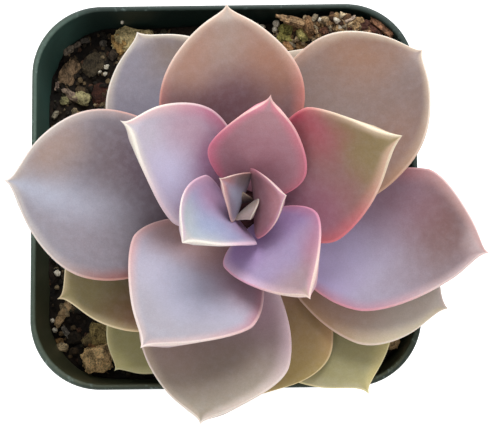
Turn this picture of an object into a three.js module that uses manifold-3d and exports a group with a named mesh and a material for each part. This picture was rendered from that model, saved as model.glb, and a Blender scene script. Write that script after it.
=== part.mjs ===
// A potted echeveria: one rosette of 24 fleshy leaves on a short stem, standing in the potting
// mix of a thin-walled square nursery pot.
// Millimetres, +Z up. The pot's foot stands on z = 0, and the pot's middle is the Z axis.

import * as THREE from "three";
import { mergeVertices } from "three/addons/utils/BufferGeometryUtils.js";
import Module from "manifold-3d";

const wasm = await Module();
wasm.setup();

const CLEARANCE = 0.35; // between pieces that touch

// Pot
const POT_HEIGHT = 83;
const RIM_HALF = 44.7; // half the width across the flats of the rim
const FOOT_HALF = 31.2;
const CORNER = 0.362; // corner radius as a share of the half width
const WALL = 1.4;
const LIP_BEVEL = 0.6;
const RIM_BAND = 8; // depth of the thicker band below the lip
const BAND_PROUD = 0.9; // how far that band stands out from the wall
const BAND_LEAN = 0.3; // the band is narrower by this at its bottom
const BAND_INSIDE = 2; // the inside of the band starts this far above its bottom
const FOOT_RECESS = 1.2; // the floor is raised by this inside the foot ring
const FOOT_RING = 2.8; // width of that ring, which the pot stands on
const FOOT_BEVEL = 0.6;
const FOOT_PAD = 7; // half width of the pad under the middle of the floor, flush with the ring
const FLOOR = 1.6;
const FLOOR_CORNER = 1.2; // bevel inside, between floor and wall
const DRAIN_HOLE = 6; // diameter
const DRAIN_OUT = 19; // distance of the eight holes from the middle
const POT_SIDES = 56;
const CORNER_CROWD = 0.13; // moves the pot's facets together at its corners

// Soil
const SOIL_TOP = 73.5;
const SOIL_SLOPE = [0.055, 0.01]; // rise per millimetre along X and Y
// soft bumps: strength, radians per millimetre along X and along Y, offset
const SOIL_BUMPS = [
  [0.5, 0.21, 0.18, 0.9],
  [0.33, 0.43, -0.37, 2],
];
const SOIL_MOUND = { at: [24, 42], rise: 4, reach: 13 }; // the mix lies higher in one corner
const SOIL_EDGE = 4; // the mix keeps the width of its top over this depth
const SOIL_RINGS = [6, 12, 18, 24, 29, 34, 38];
const CHIP_TOP = 81; // nothing in the mix stands higher than this
const CHIPS = 50;
const CHIP_SEED = 11;
const CHIP_ZONE = 40; // chips lie within this distance of the middle, along X and Y
const CHIP_LENGTH = [1, 3.2]; // half the length of a small chip, from the smallest to the largest
const CHIP_WIDTH = [0.5, 0.9]; // its width as a share of its length
const CHIP_HEIGHT = [0.7, 1.3];
const CHIP_TIP = 0.3; // radians that it tips either way
const CHIP_STANDS = 0.3; // height of its middle above the mix
const STEM_ZONE = 12; // no small chip lies nearer to the rosette's axis

// Stem: the rosette's axis stands a little off the middle of the pot
const AXIS_X = 4.7;
const AXIS_Y = -6;
const STEM_SIDES = 24;
const STEM_BOTTOM = 66;
const STEM_TOP = 105.8;
// radius of the stem at each height, thickest where the lowest leaves sit
const STEM = [
  [6.2, STEM_BOTTOM],
  [6.6, 74],
  [6.9, 80],
  [6.8, 84],
  [6.6, 87],
  [6.3, 89],
  [6, 91],
  [5.7, 93],
  [5.5, 95],
  [5.1, 97],
  [4.7, 98.5],
  [4.2, 100],
  [3.6, 101.8],
  [3.1, 103],
  [2.6, 104],
  [1.6, 105.3],
];

// Leaf: one formula, with these shares the same on every leaf
const LEAF_SIDES = 12;
const LEAF_RINGS = 14;
const BASE_ROUND = 2.5; // the base closes over this length
const MIDRIB_STEPS = 60;
const TOP_SHARE = 0.28; // share of the thickness above the midrib surface, the rest is below
const CURVE_LATE = 1.3; // above 1, the leaf curves up more towards its tip
const WIDEN_LATE = 1.15; // above 1, the blade stays narrow for longer past its base
const POINT_DEPTH = 0.82; // how far the flanks hollow in beside the point, at mucro 1
const THICK_ENDS = 0.8; // thickness near base and tip, as a share of that half way
const THIN_FROM = 0.15; // the blade thins where it is narrower than this share of its width
const CROWN_TOP = 0.85; // above 0.5, the upper face thins towards the margins
const CROWN_UNDER = 1.3; // the same for the underside
const CUP_BASE = 0.55; // share of the cup at the base
const CUP_TIP = 1.3; // and at the tip

const USUAL = {
  roll: 0, // degrees that the whole blade is turned about its midrib
  twist: 0, // degrees that it turns further on the way to the tip
  sway: 0, // degrees that the midrib bends sideways on the way to the tip
  skew: 0, // share by which one flank is fuller near the tip than the other
  point: 2, // lower makes straighter flanks
  widest: 0.605, // distance from the tip to the widest place, as a share of the width
  mucro: 1, // how much the flanks hollow in towards the point
  hollow: 0.16, // length of that hollow, as a share of the same distance
  base: 0.34, // width at the base, as a share of the width
};

// Each leaf from the oldest to the youngest, in millimetres and degrees: turn is its direction
// from above, counted from +X towards +Y; out and up give where its base meets the stem; rise is
// how steeply the midrib climbs at the base and at the tip; cup is how far the margins turn up.
const LEAVES = [
  {
    turn: 304, length: 42, width: 35, thick: 3.2, out: 7.4, up: 79.7, rise: [7.2, 12.7], cup: 3,
    point: 1.8, skew: 0.2,
  },
  {
    turn: 228.5, length: 38.5, width: 19.5, thick: 3.4, out: 7.4, up: 80, rise: [-2, 3], cup: 8,
    widest: 0.56,
  },
  { turn: 166, length: 30, width: 23, thick: 3.4, out: 7.4, up: 82.5, rise: [1, 5], cup: 8 },
  { turn: 14, length: 31, width: 23, thick: 3.4, out: 7.4, up: 81.8, rise: [1, 6], cup: 8 },
  {
    turn: 270, length: 34.8, width: 39, thick: 3.2, out: 7.3, up: 84.8, rise: [2, 8], cup: 6,
    skew: 0.2, point: 3, widest: 0.5,
  },
  { turn: 66, length: 36.6, width: 33, thick: 3.6, out: 7.3, up: 85, rise: [0, 4], cup: 8, mucro: 0.4 },
  {
    turn: 334, length: 43, width: 31.4, thick: 3.6, out: 7.1, up: 87.5, rise: [2.5, 11], cup: 9,
    skew: -0.13, point: 2.1, mucro: 0.8, base: 0.3,
  },
  { turn: 204, length: 39, width: 31, thick: 4.6, out: 7.1, up: 88.6, rise: [4, 8], cup: 10 },
  {
    turn: 120, length: 41.5, width: 33.5, thick: 5, out: 6.8, up: 89.3, rise: [4, 8.5], cup: 16,
    roll: 2, twist: 2.5, skew: 0.09, point: 2.2, widest: 0.57, mucro: 0.7, hollow: 0.13,
  },
  {
    turn: 255.5, length: 43.2, width: 34.4, thick: 5.2, out: 6.6, up: 92.3, rise: [9.5, 29], cup: 12,
    twist: 11.5, sway: 5.5, skew: 0.17, point: 1.9, widest: 0.55, mucro: 0.9, hollow: 0.13, base: 0.3,
  },
  {
    turn: 347.5, length: 48.5, width: 33.6, thick: 4.5, out: 6.6, up: 91.2, rise: [5, 21.5], cup: 16,
    roll: -2.5, twist: 8.5, sway: 3, skew: 0.25, point: 1.6, widest: 0.62, mucro: 0.9, hollow: 0.13,
    base: 0.3,
  },
  {
    turn: 173.5, length: 47.8, width: 38.7, thick: 5.4, out: 6.2, up: 94.1, rise: [7.5, 26], cup: 10.5,
    roll: 1, twist: 9.5, skew: 0.02, point: 2.2, widest: 0.57, hollow: 0.14, base: 0.33,
  },
  {
    turn: 40.5, length: 47.1, width: 36.5, thick: 4.5, out: 5.9, up: 94.5, rise: [12, 12], cup: 23,
    roll: -3, twist: -9, sway: 1, skew: 0.05, point: 2.75, mucro: 0.8, hollow: 0.09,
  },
  {
    turn: 98, length: 40.1, width: 32.2, thick: 5, out: 5.5, up: 97.75, rise: [19, 25.5], cup: 20,
    twist: 8, sway: -8, skew: -0.03, point: 2.15, widest: 0.64, mucro: 0.87, hollow: 0.11,
  },
  {
    turn: 236.5, length: 36.2, width: 33.2, thick: 5, out: 5.2, up: 97.8, rise: [21.5, 32.5], cup: 15,
    roll: 2, twist: 12, sway: -5, skew: 0.1, point: 1.46, widest: 0.59, mucro: 0.75, base: 0.35,
  },
  {
    turn: 22, length: 35.9, width: 29.1, thick: 4.8, out: 4.7, up: 100.75, rise: [23.5, 45], cup: 17,
    twist: 28, sway: -4, skew: 0.19, point: 1.48, widest: 0.7, mucro: 0.6, hollow: 0.27, base: 0.4,
  },
  {
    turn: 142.5, length: 30.6, width: 25.4, thick: 4, out: 4.5, up: 100.9, rise: [30, 32], cup: 22,
    twist: 16.5, sway: 11, skew: -0.14, point: 1.8, widest: 0.76, hollow: 0.18, base: 0.4,
  },
  {
    turn: 306, length: 27, width: 23, thick: 3.8, out: 4, up: 102.7, rise: [36, 42], cup: 17, roll: 2,
    twist: 23.5, sway: -11, skew: 0.14, point: 1.7, widest: 0.82, mucro: 0.86, hollow: 0.13, base: 0.44,
  },
  {
    turn: 73, length: 24.4, width: 21.9, thick: 3.6, out: 3.5, up: 103.9, rise: [38, 45.5], cup: 20.5,
    twist: 11, sway: 5, skew: 0.04, point: 1.7, widest: 0.72, mucro: 0.94, hollow: 0.19, base: 0.5,
  },
  {
    turn: 206.5, length: 21.2, width: 18.6, thick: 3, out: 3, up: 105.1, rise: [66.5, 30], cup: 28.5,
    roll: 5.5, twist: -12, sway: 23, skew: -0.1, point: 3.3, widest: 0.96, mucro: 0.45, base: 0.54,
  },
  {
    turn: 358.5, length: 10.6, width: 15.6, thick: 2.2, out: 2.6, up: 106.6, rise: [68.5, 31], cup: 23,
    roll: 3.5, twist: 2.5, sway: 13.5, point: 2.9, widest: 0.66, mucro: 0.55, base: 0.53,
  },
  {
    turn: 131.5, length: 9.4, width: 12, thick: 1.8, out: 2, up: 107.8, rise: [71, 37], cup: 14.5,
    roll: 30, twist: -29, sway: 19.5, point: 1.45, widest: 0.75, mucro: 0.6, base: 0.5,
  },
  {
    turn: 285.5, length: 5.9, width: 6.8, thick: 1.5, out: 0.9, up: 107.6, rise: [84, 16], cup: 6,
    roll: 22, twist: 9.5, point: 1.9, widest: 0.52, mucro: 0.1, base: 0.5,
  },
  {
    turn: 68, length: 4, width: 4.4, thick: 1.2, out: 0.8, up: 107, rise: [84, 38], cup: 5, twist: 14,
    point: 1.2, widest: 0.88, mucro: 0.1, base: 0.5,
  },
];

// Surface colours, by leaf from the oldest to the youngest
const LEAF_COLOURS = [
  "#8f8f6d", "#97986a", "#8f8678", "#8f8678", "#94865f", "#8d7a74", "#83736e", "#83705c",
  "#8c839a", "#937d82", "#a794b4", "#8f8594", "#927f7c", "#8f6b72", "#a294ab", "#96687a",
  "#a58bb0", "#a087b0", "#a0667e", "#a3a0c4", "#96647a", "#9a7485", "#a39488", "#8d7f72",
];

const materials = {
  pot: new THREE.MeshStandardMaterial({ color: "#16251f", roughness: 0.45, metalness: 0 }),
  soil: new THREE.MeshStandardMaterial({ color: "#2e231c", roughness: 0.95, metalness: 0 }),
  stem: new THREE.MeshStandardMaterial({ color: "#7d7458", roughness: 0.8, metalness: 0 }),
};

// A seeded source of numbers from 0 to 1, the same on every run.
function seeded(seed) {
  let state = seed;
  return () => {
    state = (state + 0x6d2b79f5) | 0;
    let t = Math.imul(state ^ (state >>> 15), 1 | state);
    t = (t + Math.imul(t ^ (t >>> 7), 61 | t)) ^ t;
    return ((t ^ (t >>> 14)) >>> 0) / 4294967296;
  };
}

// A closed geometry with its shared vertices merged.
function welded(geometry) {
  const bare = geometry.clone();
  bare.deleteAttribute("normal");
  bare.deleteAttribute("uv");
  return mergeVertices(bare, 1e-4);
}

function toSolid(geometry) {
  const closed = welded(geometry);
  return new wasm.Manifold(
    new wasm.Mesh({
      numProp: 3,
      vertProperties: closed.attributes.position.array,
      triVerts: new Uint32Array(closed.index.array),
    }),
  );
}

function toGeometry(solid) {
  const mesh = solid.getMesh();
  const geometry = new THREE.BufferGeometry();
  geometry.setAttribute("position", new THREE.BufferAttribute(mesh.vertProperties, 3));
  geometry.setIndex(new THREE.BufferAttribute(mesh.triVerts, 1));
  geometry.computeVertexNormals();
  return geometry;
}

function eachVertex(geometry, change) {
  const position = geometry.attributes.position;
  const point = new THREE.Vector3();
  for (let i = 0; i < position.count; i++) {
    point.fromBufferAttribute(position, i);
    change(point);
    position.setXYZ(i, point.x, point.y, point.z);
  }
}

// A profile of [radius, height] pairs from axis to axis, turned about Z.
function turned(profile, sides) {
  const lathe = new THREE.LatheGeometry(
    profile.map(([radius, height]) => new THREE.Vector2(radius, height)),
    sides,
  );
  lathe.rotateX(Math.PI / 2);
  return welded(lathe);
}

// How far the outline of a rounded square of half width 1 lies from its middle, by direction.
function squareReach(angle) {
  const folded = Math.abs(Math.atan2(Math.sin(4 * angle), Math.cos(4 * angle))) / 4;
  const across = Math.cos(folded);
  const up = Math.sin(folded);
  if (up / across <= 1 - CORNER) return 1 / across;
  const middle = 1 - CORNER;
  return middle * (across + up) + Math.sqrt(CORNER ** 2 - (middle * (across - up)) ** 2);
}

// The same turning, squared off to the pot's plan.
function squared(profile) {
  const geometry = turned(profile, POT_SIDES);
  eachVertex(geometry, (point) => {
    const radius = Math.hypot(point.x, point.y);
    const angle = Math.atan2(point.y, point.x);
    const crowded = angle + CORNER_CROWD * Math.sin(4 * angle);
    const reach = radius * squareReach(crowded);
    point.set(reach * Math.cos(crowded), reach * Math.sin(crowded), point.z);
  });
  return geometry;
}

const floorTop = FOOT_RECESS + FLOOR;
const bandBottom = POT_HEIGHT - RIM_BAND;
const wallTop = RIM_HALF - BAND_PROUD; // outside of the wall, just under the band
const holdTop = bandBottom - 1; // the tapered part of the inside ends here

// Half width of the pot's inside at a height, on the tapered wall.
function insideHalf(height) {
  return FOOT_HALF + ((wallTop - FOOT_HALF) * height) / bandBottom - WALL;
}

function potGeometry() {
  const ringInside = FOOT_HALF - FOOT_BEVEL - FOOT_RING;
  const bandInside = RIM_HALF - WALL;
  const profile = [
    [0, 0],
    [FOOT_PAD, 0],
    [FOOT_PAD + FOOT_BEVEL, FOOT_RECESS],
    [ringInside - FOOT_BEVEL, FOOT_RECESS],
    [ringInside, 0],
    [FOOT_HALF - FOOT_BEVEL, 0],
    [FOOT_HALF, FOOT_BEVEL],
    [wallTop, bandBottom],
    [RIM_HALF - BAND_LEAN, bandBottom + BAND_LEAN],
    [RIM_HALF, POT_HEIGHT - LIP_BEVEL],
    [RIM_HALF - LIP_BEVEL / 2, POT_HEIGHT],
    [bandInside, POT_HEIGHT],
    [bandInside - LIP_BEVEL / 2, POT_HEIGHT - LIP_BEVEL],
    [bandInside - LIP_BEVEL, bandBottom + BAND_INSIDE],
    [insideHalf(holdTop), holdTop],
    [insideHalf(floorTop), floorTop + FLOOR_CORNER],
    [insideHalf(floorTop) - FLOOR_CORNER, floorTop],
    [0, floorTop],
  ];
  let solid = toSolid(squared(profile));
  for (let side = 0; side < 8; side++) {
    const angle = (side * Math.PI) / 4;
    const drill = new THREE.CylinderGeometry(DRAIN_HOLE / 2, DRAIN_HOLE / 2, 12, 12);
    drill.rotateX(Math.PI / 2);
    drill.translate(DRAIN_OUT * Math.cos(angle), DRAIN_OUT * Math.sin(angle), 0);
    solid = solid.subtract(toSolid(drill));
  }
  return toGeometry(solid);
}

// Height of the mix at a place: a gentle slope with soft bumps and one mound.
function soilHeight(x, y) {
  let height = SOIL_TOP + SOIL_SLOPE[0] * x + SOIL_SLOPE[1] * y;
  for (const [strength, alongX, alongY, offset] of SOIL_BUMPS) {
    height += strength * Math.sin(alongX * x + alongY * y + offset);
  }
  const away = Math.hypot(x - SOIL_MOUND.at[0], y - SOIL_MOUND.at[1]) / SOIL_MOUND.reach;
  return height + SOIL_MOUND.rise * Math.exp(-(away ** 2));
}

// Profile of the inside of the pot up to a height, for what must stay within it.
function potHold(top) {
  return [
    [0, floorTop + CLEARANCE],
    [insideHalf(floorTop) - FLOOR_CORNER - CLEARANCE, floorTop + CLEARANCE],
    [insideHalf(floorTop) - CLEARANCE, floorTop + FLOOR_CORNER + CLEARANCE],
    [insideHalf(top) - CLEARANCE, top],
  ];
}

function soilBody() {
  const half = insideHalf(SOIL_TOP) - CLEARANCE;
  const profile = [
    ...potHold(SOIL_TOP - SOIL_EDGE),
    [half, SOIL_TOP],
    ...SOIL_RINGS.map((ring) => [ring, SOIL_TOP]).reverse(),
    [0, SOIL_TOP],
  ];
  const geometry = squared(profile);
  eachVertex(geometry, (point) => {
    if (point.z > SOIL_TOP - 0.5) point.z = soilHeight(point.x, point.y);
  });
  return toSolid(geometry);
}

// One piece of bark or one white grain: a faceted lump, its lower half in the mix.
function chip(x, y, size, turn, tip) {
  const lump = new THREE.IcosahedronGeometry(1, 0);
  lump.scale(...size);
  lump.rotateX(tip);
  lump.rotateZ(turn);
  lump.translate(x, y, soilHeight(x, y) + CHIP_STANDS);
  return toSolid(lump);
}

// The large pieces that show at the edges of the rosette: place, half sizes, turn in degrees.
const LARGE_CHIPS = [
  { at: [-21.5, 38.3], size: [4.8, 3, 2.2], turn: -8 },
  { at: [18.5, 41.5], size: [4.6, 1.4, 1.3], turn: -24 },
  { at: [16.2, 38.8], size: [2.4, 2.2, 1.8], turn: 0 },
  { at: [21.3, 38.5], size: [2.6, 2, 1.6], turn: 30 },
  { at: [15.3, 34.5], size: [2.4, 2, 1.6], turn: 20 },
  { at: [38, 38], size: [3.4, 1.1, 1.1], turn: -46 },
  { at: [34, 39.5], size: [2.6, 1.3, 1.1], turn: -12 },
  { at: [-37.2, 31.8], size: [4.2, 2, 1.4], turn: 55 },
  { at: [-31, 35], size: [2.6, 2.2, 1.6], turn: 30 },
  { at: [-36, 25.4], size: [3.4, 2.2, 1.6], turn: -30 },
  { at: [-38.4, -26.4], size: [3, 0.9, 0.9], turn: 62 },
  { at: [-30, -31.6], size: [2.6, 2.8, 1.8], turn: 0 },
  { at: [-30.4, -37], size: [3.8, 2.9, 2.2], turn: 10 },
  { at: [38.4, -33.6], size: [1.8, 2.4, 1.8], turn: -20 },
];

function soilGeometry() {
  let solid = soilBody();
  for (const { at, size, turn } of LARGE_CHIPS) {
    const angle = THREE.MathUtils.degToRad(turn);
    solid = solid.add(chip(at[0], at[1], size, angle, CHIP_TIP / 2));
  }
  const draw = seeded(CHIP_SEED);
  const between = ([low, high]) => low + (high - low) * draw();
  for (let i = 0; i < CHIPS; i++) {
    const x = between([-CHIP_ZONE, CHIP_ZONE]);
    const y = between([-CHIP_ZONE, CHIP_ZONE]);
    const length = between(CHIP_LENGTH);
    const size = [length, length * between(CHIP_WIDTH), between(CHIP_HEIGHT)];
    const turn = between([0, Math.PI]);
    const tip = between([-CHIP_TIP, CHIP_TIP]);
    if (Math.hypot(x - AXIS_X, y - AXIS_Y) < STEM_ZONE) continue;
    if (Math.hypot(x, y) > squareReach(Math.atan2(y, x)) * (CHIP_ZONE - length)) continue;
    solid = solid.add(chip(x, y, size, turn, tip));
  }
  const half = insideHalf(SOIL_TOP) - CLEARANCE;
  const hold = squared([...potHold(SOIL_TOP - SOIL_EDGE), [half, CHIP_TOP], [0, CHIP_TOP]]);
  return toGeometry(solid.intersect(toSolid(hold)).subtract(toSolid(stemGeometry(CLEARANCE))));
}

// The stem, or with grow above 0 the hole that it stands in.
function stemGeometry(grow) {
  const profile = [
    [0, STEM_BOTTOM - grow],
    ...STEM.map(([radius, height], i) => [radius + grow, i ? height : height - grow]),
    [0, STEM_TOP + grow],
  ];
  const geometry = turned(profile, STEM_SIDES);
  geometry.translate(AXIS_X, AXIS_Y, 0);
  return geometry;
}

// Half the width of a leaf at a distance from its base, before its base is rounded.
function halfWidth(leaf, distance, widest) {
  const full = widest * leaf.width;
  const shoulder = leaf.length - full;
  if (distance > shoulder) {
    const back = Math.max(0, leaf.length - distance) / full;
    const flank = 1 - (1 - back) ** leaf.point;
    return (leaf.width / 2) * flank * (1 - POINT_DEPTH * leaf.mucro * Math.exp(-((back / leaf.hollow) ** 2)));
  }
  const on = distance / shoulder;
  return (leaf.width / 2) * (leaf.base + (1 - leaf.base) * (1 - (1 - on) ** 2) ** WIDEN_LATE);
}

// Directions at a share of the way along the midrib: along it, across the blade and up from it.
function leafFrame(leaf, share) {
  const { degToRad, lerp } = THREE.MathUtils;
  const rise = degToRad(lerp(leaf.rise[0], leaf.rise[1], share ** CURVE_LATE));
  const turn = degToRad(leaf.turn + leaf.sway * share);
  const roll = degToRad(leaf.roll + leaf.twist * share);
  const along = new THREE.Vector3(
    Math.cos(rise) * Math.cos(turn),
    Math.cos(rise) * Math.sin(turn),
    Math.sin(rise),
  );
  const across = new THREE.Vector3(-Math.sin(turn), Math.cos(turn), 0).applyAxisAngle(along, roll);
  return { along, across, up: along.clone().cross(across) };
}

// The point at a share of the way along the midrib, by short steps.
function midribPoint(leaf, share) {
  const turn = THREE.MathUtils.degToRad(leaf.turn);
  const point = new THREE.Vector3(
    AXIS_X + leaf.out * Math.cos(turn),
    AXIS_Y + leaf.out * Math.sin(turn),
    leaf.up,
  );
  const step = share / MIDRIB_STEPS;
  for (let i = 0; i < MIDRIB_STEPS; i++) {
    point.addScaledVector(leafFrame(leaf, (i + 0.5) * step).along, step * leaf.length);
  }
  return point;
}

// A leaf is a sphere drawn out along its midrib: one pole is the base, the other the tip, and the
// equator between them is the margin.
function leafGeometry(given) {
  const leaf = { ...USUAL, ...given };
  const geometry = welded(new THREE.SphereGeometry(1, LEAF_SIDES, LEAF_RINGS));
  eachVertex(geometry, (point) => {
    const share = Math.min(1, Math.max(0, (1 - point.y) / 2));
    const ring = Math.hypot(point.x, point.z);
    const place = midribPoint(leaf, share);
    if (ring > 1e-4) {
      const distance = share * leaf.length;
      const sideways = point.x / ring;
      const upwards = point.z / ring;
      const closing = Math.sqrt(1 - (1 - Math.min(1, distance / BASE_ROUND)) ** 2);
      const left = halfWidth(leaf, distance, leaf.widest * (1 - leaf.skew)) * closing;
      const right = halfWidth(leaf, distance, leaf.widest * (1 + leaf.skew)) * closing;
      const half = (left + right) / 2;
      const full = leaf.thick * (THICK_ENDS + (1 - THICK_ENDS) * Math.sin(Math.PI * share));
      const thickness = full * Math.min(1, half / (THIN_FROM * leaf.width)) ** 0.8 * closing;
      const bend = THREE.MathUtils.degToRad(leaf.cup * THREE.MathUtils.lerp(CUP_BASE, CUP_TIP, share));
      const over = Math.sign(sideways) * Math.abs(sideways) ** 0.9;
      const raise = TOP_SHARE * Math.max(upwards, 0) ** CROWN_TOP;
      const lower = (1 - TOP_SHARE) * Math.max(-upwards, 0) ** CROWN_UNDER;
      const off = thickness * (raise - lower);
      const width = over > 0 ? left : right;
      const { across, up } = leafFrame(leaf, share);
      place.addScaledVector(across, (width * Math.sin(bend * over)) / bend - Math.sin(bend * over) * off);
      place.addScaledVector(up, (width * (1 - Math.cos(bend * over))) / bend + Math.cos(bend * over) * off);
    }
    point.copy(place);
  });
  return geometry;
}

function piece(name, geometry, material) {
  geometry.computeVertexNormals();
  const mesh = new THREE.Mesh(geometry, material);
  mesh.name = name;
  return mesh;
}

const plant = new THREE.Group();
plant.add(piece("pot", potGeometry(), materials.pot));
plant.add(piece("soil", soilGeometry(), materials.soil));
plant.add(piece("stem", stemGeometry(0), materials.stem));
LEAVES.forEach((leaf, i) => {
  const name = "leaf_" + String(i + 1).padStart(2, "0");
  const skin = new THREE.MeshStandardMaterial({ color: LEAF_COLOURS[i], roughness: 0.6, metalness: 0 });
  plant.add(piece(name, leafGeometry(leaf), skin));
});

export default plant;
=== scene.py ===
import math
import random

import bmesh
import bpy
from mathutils import Matrix, Vector, noise


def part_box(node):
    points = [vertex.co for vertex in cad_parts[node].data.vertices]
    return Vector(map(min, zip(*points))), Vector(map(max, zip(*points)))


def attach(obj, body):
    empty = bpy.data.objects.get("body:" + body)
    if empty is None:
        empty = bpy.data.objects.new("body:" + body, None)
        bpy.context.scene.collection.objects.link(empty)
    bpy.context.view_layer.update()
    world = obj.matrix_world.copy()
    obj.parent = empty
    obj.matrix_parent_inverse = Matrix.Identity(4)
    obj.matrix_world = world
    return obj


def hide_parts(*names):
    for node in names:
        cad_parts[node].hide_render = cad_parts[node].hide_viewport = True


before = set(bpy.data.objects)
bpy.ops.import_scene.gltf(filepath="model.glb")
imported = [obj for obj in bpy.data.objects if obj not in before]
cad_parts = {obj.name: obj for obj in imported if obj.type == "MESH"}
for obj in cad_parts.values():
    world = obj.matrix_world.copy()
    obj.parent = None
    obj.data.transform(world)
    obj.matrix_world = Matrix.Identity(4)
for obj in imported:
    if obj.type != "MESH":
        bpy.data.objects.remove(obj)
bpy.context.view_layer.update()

bl_info = {
    "name": "Potted echeveria",
    "version": (1, 0, 0),
    "blender": (4, 5, 0),
    "location": "3D View > Sidebar > Echeveria",
    "description": "Builds a potted echeveria rosette over its packed solids",
    "category": "Object",
}

MM = 0.001

# Pot, in millimetres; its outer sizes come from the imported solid
POT_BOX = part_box("pot")
POT_HEIGHT = POT_BOX[1].z / MM
RIM_HALF = POT_BOX[1].x / MM
FOOT_HALF = 31.2
CORNER = 0.362  # corner radius as a share of the half width
CORNER_CROWD = 0.1  # moves the facets together at the corners
WALL = 1.2
LIP_ROUND = 0.5
RIM_BAND = 8
BAND_PROUD = 0.9
BAND_LEAN = 0.3
BAND_INSIDE = 2
FOOT_RECESS = 1.2
FOOT_RING = 2.8
FOOT_BEVEL = 0.6
FOOT_PAD = 7
FLOOR = 1.6
FLOOR_CORNER = 1.2
DRAIN_HOLES = 8
DRAIN_HOLE = 6
DRAIN_OUT = 19
DRILL_LENGTH = 8
POT_STEPS = 192
POT_SHARP = 40  # degrees between faces from which an edge stays sharp
BAND_BOTTOM = POT_HEIGHT - RIM_BAND
WALL_TOP = RIM_HALF - BAND_PROUD

# Potting mix
MIX_TOP = 73.5
MIX_SLOPE = (0.055, 0.01)
# soft bumps: strength, radians per millimetre along X and along Y, offset
MIX_BUMPS = (
    (0.5, 0.21, 0.18, 0.9),
    (0.33, 0.43, -0.37, 2),
)
# mounds: place, rise and reach; the second is only here, banked up against the wall
MOUNDS = ((24, 42, 4, 13), (30, 45, 4.2, 9))
MIX_CELLS = 200
MIX_CLEARANCE = 0.35
# width and depth of the fine lumps and pits in its surface
FINE_LUMPS = (3.2, 0.75)
FINE_PITS = (1.7, 0.5)
STEM_CLEAR = 9  # no loose piece lies nearer to the stem's middle line

# What the camera looks at
LOOK_AT = Vector((5.1, -5, 83))

# Stem
AXIS = Vector((4.7, -6, 0))
STEM_BOTTOM = 66
# radius and height
STEM = (
    (6.2, 66), (6.6, 74), (6.9, 80), (6.8, 84), (6.6, 87), (6.3, 89), (6, 91), (5.7, 93), (5.5, 95),
    (5.1, 97), (4.7, 98.5), (4.2, 100), (3.6, 101.8), (3.1, 103), (2.6, 104), (1.6, 105.3), (0, 105.8),
)

# Leaf: one formula, with these shares the same on every leaf
BASE_ROUND = 2.5
MIDRIB_STEPS = 60
TOP_SHARE = 0.28
CURVE_LATE = 1.3
WIDEN_LATE = 1.15
POINT_DEPTH = 0.82
THICK_ENDS = 0.8
THIN_FROM = 0.15
CROWN_TOP = 0.85
CROWN_UNDER = 2  # a little sharper than the solid's, for a clean edge
CUP_BASE = 0.55
CUP_TIP = 1.3
USUAL = dict(
    roll=0, twist=0, sway=0, skew=0, point=2, widest=0.605, mucro=1, hollow=0.16, base=0.34,
)


def leaf(turn, length, width, thick, out, up, rise, cup, **others):
    """A leaf's own values, in millimetres and degrees: its turn round the stem, length, width and
    thickness, the place of its base out from the stem's middle line and up, its rise at the base
    and at the tip, its cup, and what isn't as usual."""
    return dict(
        USUAL, turn=turn, length=length, width=width, thick=thick, out=out, up=up, rise=rise, cup=cup,
        **others,
    )


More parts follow.
